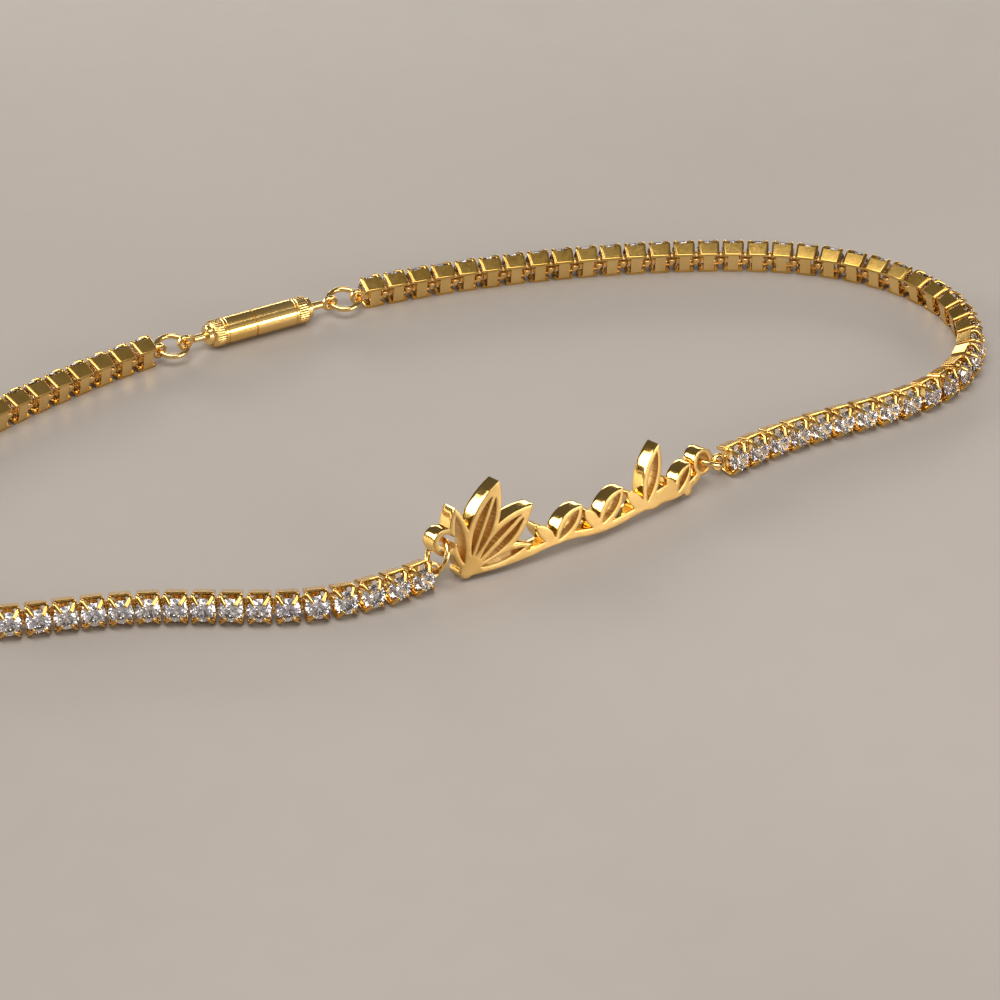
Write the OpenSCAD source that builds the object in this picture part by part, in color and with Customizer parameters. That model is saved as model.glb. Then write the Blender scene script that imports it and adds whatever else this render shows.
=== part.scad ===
// Bracelet: a curved openwork plate of pierced leaves between two strands of claw-set stones.
// The whole loop stands on its edge, stones outward; +X runs along the plate, -Y is its front, +Z is up.

/* [Loop] */
// Length once round the loop, mm
loop_length = 203; // [195:0.5:215]
// How far the stones and the plate tip upward, degrees
lean = 12; // [8:0.5:16]

/* [Links and stones] */
// Distance from hinge to hinge, mm
link_pitch = 1.9; // [1.88:0.01:2]
// Height of a link across the strand, mm
link_width = 2.3; // [2.25:0.05:2.5]
// Depth of a link's side walls from back to front, mm
link_depth = 1.1; // [1:0.05:1.2]
// Thickness of a link's side walls, mm
wall = 0.24; // [0.2:0.01:0.3]
// Diameter of a round stone, mm
stone_diameter = 1.74; // [1.7:0.01:1.75]
// Wire of the four claws, mm
claw_wire = 0.32; // [0.28:0.01:0.34]
// Wire of the hinge pins, mm
pin_wire = 0.28; // [0.24:0.01:0.3]

/* [Plate] */
// Length of the plate along its middle, mm
plate_length = 23.7; // [22:0.1:25]
// Height of the plate to the tip of its tallest leaf, mm
plate_height = 6.45; // [6:0.05:7]
// Thickness of the plate from front to back, mm
plate_thickness = 1.4; // [1.2:0.05:1.5]
// Radius to which the plate's front is bent, mm
plate_radius = 55; // [45:1:90]
// Width of the rim left round each opening of a leaf, mm
rim = 0.42; // [0.36:0.01:0.5]

/* [Rings and clasp] */
// Wire of the loose rings, mm
ring_wire = 0.42; // [0.36:0.01:0.46]
// Inside diameter of the loose rings, mm
ring_inside = 1.9; // [1.85:0.01:2]
// Distance between the middles of the clasp's two eyes, mm
clasp_length = 12.2; // [11:0.1:13]
// Diameter of the clasp's barrel, mm
clasp_diameter = 2.1; // [2:0.05:2.3]

/* [Hidden] */
$fn = 40;

// The back of the loop is part of one circle
back_radius = 78;
back_middle = [-9.5, -40.5];
back_from = 53;
back_to = 109;
back_step = 8;
// Few points that steer the loop's front seen from above, from left to right, mm; the back follows them
front = [
    [-45.5, 22.5], [-44.5, 15.5], [-40, 11.5], [-34.5, 10], [-28, 7], [-21, 1.5], [-14, 0.6], [-7, 1.3],
    [0, 1.5], [7, 1.3], [13.5, 1.7], [21, 2.5], [28.5, 1], [35, 1.5], [40, 5.5], [42, 13]];
route = concat(front,
    [for (a = [back_from : back_step : back_to]) back_middle + back_radius * [cos(a), sin(a)]],
    [[-42, 29]]);
route_steps = 10;

// Smooth closed curve through the neighbourhood of the steering points
function blend(t) = [pow(1 - t, 3), 3 * pow(t, 3) - 6 * t * t + 4, 3 * (t + t * t - pow(t, 3)) + 1, pow(t, 3)]
    / 6;
function steer(i) = route[(i + len(route)) % len(route)];
function curve_point(i, t) = blend(t) * [steer(i - 1), steer(i), steer(i + 1), steer(i + 2)];
raw = [for (i = [0 : len(route) - 1]) for (k = [0 : route_steps - 1]) curve_point(i, k / route_steps)];
raw_gaps = [for (i = [0 : len(raw) - 1]) norm(raw[(i + 1) % len(raw)] - raw[i])];
function total(v, i = 0) = i < len(v) ? v[i] + total(v, i + 1) : 0;
raw_length = total(raw_gaps);
grow = loop_length / raw_length;
raw_run = [for (i = 0, s = 0; i <= len(raw); s = s + (i < len(raw) ? raw_gaps[i] : 0), i = i + 1) s];
middle = [(max([for (p = raw) p[0]]) + min([for (p = raw) p[0]])) / 2,
    (max([for (p = raw) p[1]]) + min([for (p = raw) p[1]])) / 2];
xs = [for (i = [0 : len(raw)]) [raw_run[i] * grow, (raw[i % len(raw)][0] - middle[0]) * grow]];
ys = [for (i = [0 : len(raw)]) [raw_run[i] * grow, (raw[i % len(raw)][1] - middle[1]) * grow]];
// Distance along the loop for a place along the plate, from the loop's front between its outer points
plate_table = [for (i = [route_steps : (len(front) - 2) * route_steps]) [xs[i][1], xs[i][0]]];
function wrap(s) = s - loop_length * floor(s / loop_length);
// Point of the loop at a distance from its start
function at(s) = [lookup(wrap(s), xs), lookup(wrap(s), ys)];

// Colours of the metal, the plate and the stones
gold = [0.9, 0.7, 0.36];
plate_gold = [0.93, 0.76, 0.42];
clear = [0.86, 0.88, 0.93];

// Stone proportions
table_radius = 0.28 * stone_diameter;
crown_height = 0.155 * stone_diameter;
pavilion_depth = 0.43 * stone_diameter;
star_radius = 0.4 * stone_diameter;
girdle_level = 1.6;
stone_gap = 0.05;

// Hinge: level of the pin's middle, play round the pin, half widths of tongue and cheeks, then the floor block and
// the bars that carry them
hinge_level = 0.6;
hinge_gap = 0.12;
tongue_half = 0.18;
cheek_gap = 0.13;
cheek_inner = tongue_half + cheek_gap;
cheek_outer = 0.51;
tongue_wall = 0.15;
tongue_radius = pin_wire / 2 + hinge_gap + tongue_wall;
cheek_radius = 0.24;
block_half = 0.42;
block_height = 0.52;
bar_height = 0.36;
bar_level = 0.56;
bar_start = 0.32;
pin_short = 0.05;
// Half lengths of a side wall at its back and at its front
wall_back = 0.56;
wall_front = 0.6;

// Eyes at the ends of strands and clasp
eye_hole = 0.7;
eye_outer = 1.3;
eye_thickness = 0.36;
eye_reach = 1.25;
eye_lap = 0.12;
ring_radius = (ring_inside + ring_wire) / 2;

// The plate's two ring holes: their sizes, the metal round them, how far in from the plate's ends and how high,
// as a share of its height, their middles lie
hole_left_size = 1.28;
hole_right_size = [1.14, 1.36];
hole_left_rim = 0.38;
hole_right_rim = 0.3;
hole_right_inset = 0.9;
hole_left_share = 0.465;
hole_right_share = 0.302;
hole_left = [-plate_length / 2 + hole_left_size / 2 + hole_left_rim, hole_left_share * plate_height];
hole_right = [plate_length / 2 - hole_right_inset, hole_right_share * plate_height];
// How far past the middle of a hole the ring's wire lies, away from the strand
pass_left = 0.05;
pass_right = 0.14;

// Height of the middle of a link's back above the floor, so that its lower wall lies flat
back_height = link_width / 2 * cos(lean) - link_depth * sin(lean);
wall_slope = link_depth * tan(lean);

// One claw: its foot at the back corner, its bend beside the girdle, its tip's distance from the middle and level
claw_foot = [0.62, link_width / 2 - wall_slope - claw_wire / 2, 0.08];
bend_inset = 0.01;
claw_bend = [0.7, link_width / 2 - claw_wire / 2 - bend_inset, girdle_level - 0.15];
claw_tip = [0.66, girdle_level + 0.26];
claw_angle = atan2(claw_bend[1], claw_bend[0]);
// How much thinner the arm over the crown is than the leg, and the balls that round its bend and its tip
claw_taper = 0.04;
bend_ball = claw_wire / 2 + 0.005;
tip_ball = claw_wire / 2 + 0.015;
// Levels, measured from the girdle, between which the stone's seat is cut, and its reach towards the middle
seat_below = 0.3;
seat_inner = 0.3;
seat_width = 1;

// Plate position: its front's middle, its turn, its two feet along it, and the lift that stands them on the floor
plate_spot = [0.65, -0.95];
plate_middle = (plate_spot - middle) * grow;
plate_turn = 1.6;
foot_left_share = -0.4114;
foot_right_share = 0.388;
foot_left = foot_left_share * plate_length;
foot_right = foot_right_share * plate_length;
foot_left_radius = 0.5;
foot_right_radius = 0.4;
function bow(x, r) = plate_radius - sqrt(r * r - x * x);
plate_lift = max(bow(foot_left, plate_radius - plate_thickness),
    bow(foot_right, plate_radius - plate_thickness)) * sin(lean);
function on_plate(p, depth) =
    let (y = bow(p[0], plate_radius - depth), back = y * cos(lean) + p[1] * sin(lean))
    [plate_middle[0] + p[0] * cos(plate_turn) - back * sin(plate_turn),
    plate_middle[1] + p[0] * sin(plate_turn) + back * cos(plate_turn),
    plate_lift - y * sin(lean) + p[1] * cos(lean)];
ring_spot_left = on_plate([hole_left[0] + pass_left, hole_left[1] + pass_left], plate_thickness / 2);
ring_spot_right = on_plate([hole_right[0] - pass_right, hole_right[1]], plate_thickness / 2);
hole_axis = [sin(plate_turn) * cos(lean), -cos(plate_turn) * cos(lean), sin(lean)];

// Clasp: its neck between eye and shoulder, the neck's lap into the eye, and the shoulder at each end of the barrel
neck_diameter = 0.6;
neck_length = 1.45;
neck_lap = 0.1;
shoulder_length = 0.4;
shoulder_step = 0.25;

// Frame of a piece whose hinge line runs from one point of the loop to another
function heading(a, b) = atan2(b[1] - a[1], b[0] - a[0]);
function outward(h) = [sin(h), -cos(h)];
function frame(a, b) = let (h = heading(a, b), o = outward(h), m = (a + b) / 2 - o * hinge_level * cos(lean))
    [[cos(h), -sin(lean) * o[0], cos(lean) * o[0], m[0]],
    [sin(h), -sin(lean) * o[1], cos(lean) * o[1], m[1]],
    [0, cos(lean), sin(lean), back_height],
    [0, 0, 0, 1]];
function placed(f, p) = [for (r = [0 : 2]) f[r] * [p[0], p[1], p[2], 1]];

// Strands: the eye beside the plate at each side, then equal steps to the clasp
eye_excess = eye_reach - link_pitch / 2;
function end_eye(s, side) = placed(frame(at(s + side * eye_excess - (side < 0 ? link_pitch : 0)),
    at(s + side * eye_excess + (side > 0 ? link_pitch : 0))), [-side * eye_reach, 0, hinge_level]);
function settle(s, hole, side, n) = n == 0 ? s :
    settle(s + side * (2 * ring_radius - norm(hole - end_eye(s, side))), hole, side, n - 1);
// Each eye starts at the plate's end and is moved step by step until its ring reaches the plate's hole
settle_steps = 10;
plate_at = lookup(plate_middle[0], plate_table);
eye_right_at = settle(plate_at + plate_length / 2, ring_spot_right, 1, settle_steps);
eye_left_at = settle(plate_at - plate_length / 2, ring_spot_left, -1, settle_steps);
strand = (eye_left_at + loop_length - eye_right_at - clasp_length - 4 * ring_radius) / 2;
links_each = floor((strand - 2 * eye_excess) / link_pitch);
pitch = (strand - 2 * eye_excess) / links_each;
right_start = eye_right_at + eye_excess;
left_start = loop_length + eye_left_at - eye_excess - links_each * pitch;
clasp_at = (eye_right_at + eye_left_at + loop_length) / 2;
function link_frame(start, k) = frame(at(start + k * pitch), at(start + (k + 1) * pitch));
function eye_point(f, side) = placed(f, [side * eye_reach, 0, hinge_level]);
clasp_frame = frame(at(clasp_at - clasp_length / 2), at(clasp_at + clasp_length / 2));
// The barrel lies on the floor, so its middle is a little above the hinge line
clasp_rise = clasp_diameter / 2 - back_height - hinge_level * sin(lean);

module along(f) {
    multmatrix(f) children();
}

// Rod between two points
module rod(a, b, d) {
    v = b - a;
    translate(a)
        rotate([0, acos(v[2] / norm(v)), atan2(v[1], v[0])])
            cylinder(h = norm(v), d = d);
}

// Loose ring through two points, its wire passing them in the given direction
module ring_between(a, b, through) {
    x = (b - a) / norm(b - a);
    c = cross(x, through);
    z = c / norm(c);
    y = cross(z, x);
    m = (a + b) / 2;
    multmatrix([[x[0], y[0], z[0], m[0]], [x[1], y[1], z[1], m[1]], [x[2], y[2], z[2], m[2]], [0, 0, 0, 1]])
        rotate_extrude($fn = 64)
            translate([norm(b - a) / 2, 0])
                circle(d = ring_wire);
}

// Bar from the floor block outward to a hinge or an eye
module bar(side, end, width) {
    translate([side * (bar_start + end) / 2, 0, bar_level])
        cube([end - bar_start, width, bar_height], center = true);
}

// Flat eye whose hole faces front and back
module eye(side) {
    translate([side * eye_reach, 0, hinge_level])
        difference() {
            cylinder(h = eye_thickness, d = eye_outer, center = true);
            cylinder(h = 2 * eye_thickness, d = eye_hole, center = true);
        }
    bar(side, eye_reach - eye_hole / 2 - eye_lap, 2 * tongue_half);
}

// Middle tongue with the pin's hole, on the side where the next link follows
module tongue() {
    difference() {
        union() {
            translate([pitch / 2, 0, hinge_level])
                rotate([90, 0, 0])
                    cylinder(h = 2 * tongue_half, r = tongue_radius, center = true);
            bar(1, pitch / 2, 2 * tongue_half);
        }
        translate([pitch / 2, 0, hinge_level])
            rotate([90, 0, 0])
                cylinder(h = 4 * tongue_half, r = pin_wire / 2 + hinge_gap, center = true);
    }
}

// Two cheeks and the pin between them
module fork() {
    for (side = [-1, 1])
        translate([0, side * (cheek_inner + cheek_outer) / 2, 0]) {
            translate([-pitch / 2, 0, hinge_level])
                rotate([90, 0, 0])
                    cylinder(h = cheek_outer - cheek_inner, r = cheek_radius, center = true);
            bar(-1, pitch / 2, cheek_outer - cheek_inner);
        }
    translate([-pitch / 2, 0, hinge_level])
        rotate([90, 0, 0])
            cylinder(h = 2 * (cheek_outer - pin_short), d = pin_wire, center = true);
}

// Open basket: two side walls, a floor block and four claws
module basket() {
    half = link_width / 2;
    intersection() {
        rotate([90, 0, 90])
            linear_extrude(2 * link_pitch, center = true)
                for (side = [-1, 1])
                    polygon([[side * (half - wall_slope), 0], [side * half, link_depth],
                        [side * (half - wall), link_depth], [side * (half - wall_slope - wall), 0]]);
        rotate([90, 0, 0])
            linear_extrude(2 * link_width, center = true)
                polygon([[-wall_back, 0], [wall_back, 0], [wall_front, link_depth],
                    [-wall_front, link_depth]]);
    }
    translate([0, 0, block_height / 2])
        cube([2 * block_half, 2 * (half - wall_slope) - wall, block_height], center = true);
    for (a = [0, 180])
        rotate(a)
            for (side = [-1, 1])
                claw(side);
}

// One claw: a leg up to the bend, an arm over the crown and a round tip, cut flat inside, clear of the stone
module claw(side) {
    edge = stone_diameter / 2 + stone_gap;
    top = girdle_level + crown_height + stone_gap;
    bend = [norm([claw_bend[0], claw_bend[1]]), 0, claw_bend[2]];
    tip = [claw_tip[0], 0, claw_tip[1]];
    difference() {
        union() {
            rod([claw_foot[0], side * claw_foot[1], claw_foot[2]],
                [claw_bend[0], side * claw_bend[1], claw_bend[2]], claw_wire);
            rotate(side * claw_angle) {
                translate(bend)
                    sphere(bend_ball);
                rod(bend, tip, claw_wire - claw_taper);
                translate(tip)
                    sphere(tip_ball);
            }
        }
        rotate([90, 0, side * claw_angle])
            linear_extrude(seat_width, center = true)
                polygon([[seat_inner, girdle_level - seat_below], [edge, girdle_level - seat_below],
                    [edge, girdle_level + stone_gap / 2], [table_radius + stone_gap / 2, top],
                    [seat_inner, top]]);
    }
}

module link(first, last) {
    basket();
    if (first)
        eye(-1);
    else
        fork();
    if (last)
        eye(1);
    else
        tongue();
}

// Round brilliant: table, stars, kites and halves above the girdle, sixteen facets below
module stone() {
    r = stone_diameter / 2;
    slope = crown_height / (r - table_radius);
    star_level = crown_height - (star_radius * cos(22.5) - table_radius) * slope;
    points = concat(
        [for (k = [0 : 7]) [table_radius * cos(45 * k), table_radius * sin(45 * k), crown_height]],
        [for (k = [0 : 7]) [star_radius * cos(45 * k + 22.5), star_radius * sin(45 * k + 22.5), star_level]],
        [for (k = [0 : 15]) [r * cos(22.5 * k), r * sin(22.5 * k), 0]],
        [[0, 0, -pavilion_depth]]);
    faces = concat(
        [[for (k = [7 : -1 : 0]) k]],
        [for (k = [0 : 7]) [k, (k + 1) % 8, 8 + k]],
        [for (k = [0 : 7]) [8 + (k + 7) % 8, k, 8 + k, 16 + 2 * k]],
        [for (k = [0 : 7]) [8 + k, 17 + 2 * k, 16 + 2 * k]],
        [for (k = [0 : 7]) [8 + k, 16 + (2 * k + 2) % 16, 17 + 2 * k]],
        [for (k = [0 : 15]) [16 + k, 16 + (k + 1) % 16, 32]]);
    translate([0, 0, girdle_level])
        polyhedron(points, faces, convexity = 4);
}

// Pointed leaf lying along +X from its base
module leaf(length, width) {
    r = (length * length + width * width) / 4 / width;
    translate([length / 2, 0])
        intersection() {
            translate([0, r - width / 2])
                circle(r, $fn = 160);
            translate([0, width / 2 - r])
                circle(r, $fn = 160);
        }
}

// Leaves of the plate: base along it as a share of its length; base up, leaf length and leaf width as shares
// of its height; direction in degrees; 1 if pierced; 1 if it has a vein
leaves = [
    [-0.4135, 0.062, 0.775, 0.233, 92, 1, 0],
    [-0.4093, 0.054, 1.07, 0.326, 62, 1, 1],
    [-0.405, 0.047, 1.023, 0.326, 34, 1, 1],
    [-0.3924, 0.07, 0.744, 0.209, 8, 1, 0],
    [-0.1139, 0.078, 0.357, 0.147, 128, 0, 0],
    [-0.118, 0.062, 0.527, 0.233, 42, 1, 0],
    [0.0422, 0.07, 0.326, 0.147, 122, 0, 0],
    [0.038, 0.062, 0.527, 0.233, 44, 1, 0],
    [0.2152, 0.062, 0.372, 0.155, 128, 0, 0],
    [0.2152, 0.047, 0.76, 0.24, 68, 1, 0],
    [0.2194, 0.054, 0.419, 0.17, 24, 0, 0],
    [0.3418, 0.07, 0.279, 0.132, 116, 0, 0],
    [0.3376, 0.062, 0.403, 0.202, 48, 1, 0]];
vein = 0.3;
// Where a leaf's opening starts and how long it is, as shares of the leaf
opening_start = 0.15;
opening_share = 0.72;
// Stretches of the stem: two ends, along as a share of the plate's length and up as a share of its height, then
// how far the middle rises above the straight line between them, as a share of its height
stem = [
    [[-0.4177, 0.07], [-0.1814, 0.085], -0.0217],
    [[-0.19, 0.078], [-0.0253, 0.093], 0.0248],
    [[-0.038, 0.1], [0.139, 0.078], -0.031],
    [[0.1266, 0.07], [0.3207, 0.085], 0.0248],
    [[0.308, 0.085], [0.443, 0.178], -0.0388]];
stem_width = 0.56;
plate_margin = 1;
function scaled(p) = [p[0] * plate_length, p[1] * plate_height];

module stem_arc(a, b, rise) {
    v = b - a;
    h = abs(rise);
    r = (v * v / 4 + h * h) / 2 / h;
    up = rise > 0 ? 1 : -1;
    n = [-v[1], v[0]] / norm(v);
    c = (a + b) / 2 + n * (rise - up * r);
    // The sector between the ends reaches past the arc
    far = 2;
    intersection() {
        translate(c)
            difference() {
                circle(r + stem_width / 2, $fn = 240);
                circle(r - stem_width / 2, $fn = 240);
            }
        polygon([c, c + (a - c) * far, c + (b - c) * far]);
    }
}

// Places its children on a leaf's base, turned in its direction
module at_leaf(l) {
    translate(scaled(l))
        rotate(l[4])
            children();
}

module openings() {
    for (l = leaves)
        if (l[5] == 1)
            at_leaf(l)
                translate([l[2] * plate_height * opening_start, 0])
                    difference() {
                        leaf(l[2] * plate_height * opening_share, l[3] * plate_height - 2 * rim);
                        if (l[6] == 1)
                            translate([0, -vein / 2])
                                square([l[2] * plate_height, vein]);
                    }
    translate(hole_left)
        circle(d = hole_left_size);
    translate(hole_right)
        scale([hole_right_size[0] / hole_right_size[1], 1])
            circle(d = hole_right_size[1]);
}

module outline() {
    for (l = leaves)
        at_leaf(l)
            leaf(l[2] * plate_height, l[3] * plate_height);
    for (s = stem)
        stem_arc(scaled(s[0]), scaled(s[1]), s[2] * plate_height);
    translate([foot_left, foot_left_radius])
        circle(foot_left_radius);
    translate([foot_right, foot_right_radius])
        circle(foot_right_radius);
    translate(hole_left)
        circle(d = hole_left_size + 2 * hole_left_rim);
    translate(hole_right)
        circle(d = hole_right_size[1] + 2 * hole_right_rim);
}

module nameplate() {
    depth = plate_thickness + bow(plate_length / 2, plate_radius) + 2 * plate_margin;
    tall = plate_height + 2 * plate_margin;
    color(plate_gold)
        translate([plate_middle[0], plate_middle[1], plate_lift])
            rotate([-lean, 0, plate_turn])
                intersection() {
                    translate([0, depth - plate_margin, 0])
                        rotate([90, 0, 0])
                            linear_extrude(depth)
                                difference() {
                                    outline();
                                    openings();
                                }
                    translate([0, plate_radius, -plate_margin])
                        difference() {
                            cylinder(h = tall, r = plate_radius, $fn = 360);
                            translate([0, 0, -plate_margin])
                                cylinder(h = tall + 2 * plate_margin, r = plate_radius - plate_thickness,
                                    $fn = 360);
                        }
                }
}

module links(start) {
    color(gold)
        for (k = [0 : links_each - 1])
            along(link_frame(start, k))
                link(k == 0, k == links_each - 1);
}

module stones(start) {
    color(clear)
        for (k = [0 : links_each - 1])
            along(link_frame(start, k))
                stone();
}

module left_links() {
    links(left_start);
}

module right_links() {
    links(right_start);
}

module left_stones() {
    stones(left_start);
}

module right_stones() {
    stones(right_start);
}

module left_ring() {
    f = link_frame(left_start, links_each - 1);
    color(gold)
        ring_between(ring_spot_left, eye_point(f, 1), hole_axis + [f[0][2], f[1][2], f[2][2]]);
}

module right_ring() {
    f = link_frame(right_start, 0);
    color(gold)
        ring_between(ring_spot_right, eye_point(f, -1), hole_axis + [f[0][2], f[1][2], f[2][2]]);
}

// Plain barrel with a shoulder, a neck and an eye at each end
module clasp() {
    barrel = clasp_length - eye_outer - 2 * neck_length;
    color(gold)
        along(clasp_frame) {
            translate([0, clasp_rise * cos(lean), hinge_level + clasp_rise * sin(lean)])
                rotate([0, 90, 0]) {
                    cylinder(h = barrel, d = clasp_diameter, center = true);
                    cylinder(h = barrel + 2 * shoulder_length, d = clasp_diameter - 2 * shoulder_step,
                        center = true);
                    cylinder(h = clasp_length - eye_outer + 2 * neck_lap, d = neck_diameter, center = true);
                }
            for (side = [-1, 1])
                translate([side * clasp_length / 2, 0, hinge_level])
                    difference() {
                        cylinder(h = eye_thickness, d = eye_outer, center = true);
                        cylinder(h = 2 * eye_thickness, d = eye_hole, center = true);
                    }
        }
}

module clasp_ring(f, side, clasp_side) {
    g = [for (r = [0 : 2]) clasp_frame[r] * [clasp_side * clasp_length / 2, 0, hinge_level, 1]];
    color(gold)
        ring_between(g, eye_point(f, side), [f[0][2], f[1][2], f[2][2]]);
}

module clasp_ring_right() {
    clasp_ring(link_frame(right_start, links_each - 1), 1, -1);
}

module clasp_ring_left() {
    clasp_ring(link_frame(left_start, 0), -1, 1);
}

nameplate();
left_ring();
right_ring();
left_links();
left_stones();
right_links();
right_stones();
clasp();
clasp_ring_left();
clasp_ring_right();
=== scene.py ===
import random
from math import atan2, ceil, cos, hypot, pi, radians, sin, sqrt, tan

import bmesh
import bpy
import numpy as np
from mathutils import Matrix, Vector
from mathutils.geometry import delaunay_2d_cdt


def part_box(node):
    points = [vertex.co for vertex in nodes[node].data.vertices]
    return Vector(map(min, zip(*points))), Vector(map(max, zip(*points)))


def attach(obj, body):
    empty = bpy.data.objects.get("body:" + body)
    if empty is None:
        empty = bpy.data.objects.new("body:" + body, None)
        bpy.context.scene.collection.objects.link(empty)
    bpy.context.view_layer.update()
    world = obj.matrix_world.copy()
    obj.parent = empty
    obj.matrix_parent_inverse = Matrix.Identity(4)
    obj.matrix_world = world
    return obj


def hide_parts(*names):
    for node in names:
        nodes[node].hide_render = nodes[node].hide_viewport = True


# Looks of a bracelet: a curved openwork plate between two strands of claw-set stones.
# Lengths in the functions are in millimetres; MM turns them into metres when a mesh is made.

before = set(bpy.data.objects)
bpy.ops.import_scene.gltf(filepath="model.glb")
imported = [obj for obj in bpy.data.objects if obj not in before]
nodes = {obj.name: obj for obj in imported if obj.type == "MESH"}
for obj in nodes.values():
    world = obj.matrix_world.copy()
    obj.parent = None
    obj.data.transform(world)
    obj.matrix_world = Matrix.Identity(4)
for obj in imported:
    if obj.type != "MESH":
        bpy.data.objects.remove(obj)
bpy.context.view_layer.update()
MM = 0.001

# Sizes in millimetres
LEAN = radians(12)
# Links: their step, width and depth; their walls' thickness and half lengths at the back and at the front
PITCH = 1.9075
LINK_WIDTH, LINK_DEPTH, WALL = 2.3, 1.1, 0.24
WALL_BACK, WALL_FRONT = 0.62, 0.7
# Stones: diameter, and the table's radius, the heights of crown and pavilion and the star's radius
STONE = 1.74
TABLE, CROWN, PAVILION, STAR = 0.28 * STONE, 0.155 * STONE, 0.43 * STONE, 0.4 * STONE
# Heights above the back of a link
GIRDLE_LEVEL = 1.6
HINGE_LEVEL = 0.6
# Hinges, rings and eyes
PIN_WIRE, PIN_HOLE, TONGUE_OUTER, TONGUE_HALF = 0.28, 0.52, 0.82, 0.18
CHEEK_INNER, CHEEK_OUTER, CHEEK_RADIUS = 0.31, 0.51, 0.24
RING_WIRE, RING_MIDDLE = 0.42, 1.16
EYE_REACH, EYE_OUTER, EYE_HOLE, EYE_THICK = 1.25, 1.3, 0.7, 0.36
EYE_EDGE, EYE_SIDES = 0.09, 40
PLATE_RADIUS, PLATE_THICK = 55.0, 1.4
PLATE_TURN = radians(1.6)
PLATE_PLACE = Vector((2.588, -19.949, 0.477))
CLASP_LENGTH, CLASP_WIDE, CLASP_BODY = 12.2, 2.1, 8.0
BEVEL_STEPS, BEVEL_SHAPE = 2, 0.6


# Meshes

def mesh_piece(name, verts, faces, materials, kinds=None, smooth=True):
    """Object from points in millimetres; kinds gives each face's material index."""
    mesh = bpy.data.meshes.new(name)
    mesh.from_pydata([tuple(c * MM for c in v) for v in verts], [], faces)
    for m in materials:
        mesh.materials.append(m)
    if kinds is not None:
        mesh.polygons.foreach_set("material_index", kinds)
    mesh.polygons.foreach_set("use_smooth", [smooth] * len(mesh.polygons))
    mesh.update()
    obj = bpy.data.objects.new(name, mesh)
    bpy.context.scene.collection.objects.link(obj)
    return obj


class Solid:
    """Points and faces gathered from several closed shapes, in millimetres."""

    def __init__(self):
        self.verts, self.faces, self.kinds, self.kind = [], [], [], 0

    def add(self, verts, faces):
        n = len(self.verts)
        self.verts += [Vector(v) for v in verts]
        self.faces += [tuple(n + i for i in f) for f in faces]
        self.kinds += [self.kind] * len(faces)

    def block(self, corners, bevel):
        """Six-sided block with rounded edges; corners are four below and the four above them."""
        bm = bmesh.new()
        vs = [bm.verts.new(c) for c in corners]
        for f in ((3, 2, 1, 0), (4, 5, 6, 7), (0, 1, 5, 4), (1, 2, 6, 5), (2, 3, 7, 6), (3, 0, 4, 7)):
            bm.faces.new([vs[i] for i in f])
        bmesh.ops.recalc_face_normals(bm, faces=bm.faces)
        bmesh.ops.bevel(bm, geom=list(bm.edges), offset=bevel, segments=BEVEL_STEPS, profile=BEVEL_SHAPE,
                         affect="EDGES")
        bm.verts.index_update()
        self.add([v.co.copy() for v in bm.verts], [tuple(v.index for v in f.verts) for f in bm.faces])
        bm.free()

    def bar(self, x0, x1, y0, y1, z0, z1, bevel):
        self.block([(x0, y0, z0), (x1, y0, z0), (x1, y1, z0), (x0, y1, z0),
                    (x0, y0, z1), (x1, y0, z1), (x1, y1, z1), (x0, y1, z1)], bevel)

    def lathe(self, profile, sides, place, closed):
        """Profile of (radius, height) turned round the local z axis, then placed."""
        rows = len(profile)
        verts = []
        for k in range(sides):
            a = 2 * pi * k / sides
            verts += [place @ Vector((r * cos(a), r * sin(a), z)) for r, z in profile]
        faces = []
        for k in range(sides):
            n = (k + 1) % sides
            for i in range(rows if closed else rows - 1):
                j = (i + 1) % rows
                faces.append((k * rows + i, n * rows + i, n * rows + j, k * rows + j))
        if not closed:
            faces.append(tuple(k * rows for k in reversed(range(sides))))
            faces.append(tuple(k * rows + rows - 1 for k in range(sides)))
        self.add(verts, faces)

    def sweep(self, path, sizes, sides, side_axis, flip):
        """Wire along a path in a plane; sizes gives half widths across and along the plane's normal."""
        verts = []
        count = len(path)
        for i, p in enumerate(path):
            t = (path[min(i + 1, count - 1)] - path[max(i - 1, 0)]).normalized()
            b = t.cross(side_axis).normalized()
            for k in range(sides):
                a = 2 * pi * k / sides
                verts.append(p + b * sizes[i][0] * cos(a) + side_axis * sizes[i][1] * sin(a))
        faces = []
        for i in range(count - 1):
            for k in range(sides):
                n = (k + 1) % sides
                faces.append((i * sides + k, i * sides + n, (i + 1) * sides + n, (i + 1) * sides + k))
        faces.append(tuple(reversed(range(sides))))
        faces.append(tuple((count - 1) * sides + k for k in range(sides)))
        self.add(verts, [tuple(reversed(f)) for f in faces] if flip else faces)


def round_profile(inner, outer, half, radius, steps=3):
    """Closed profile of a flat ring with rounded edges."""
    points = []
    for r, z, start in ((outer - radius, half - radius, 0), (inner + radius, half - radius, 90),
                        (inner + radius, radius - half, 180), (outer - radius, radius - half, 270)):
        for s in range(steps + 1):
            a = radians(start + 90 * s / steps)
            points.append((r + radius * cos(a), z + radius * sin(a)))
    return points


def disc_profile(radius, half, edge, steps=2):
    """Open profile of a solid disc with rounded edges, from below to above."""
    points = []
    for z, start in ((edge - half, -90), (half - edge, 0)):
        for s in range(steps + 1):
            a = radians(start + 90 * s / steps)
            points.append((radius - edge + edge * cos(a), z + edge * sin(a)))
    return points


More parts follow.
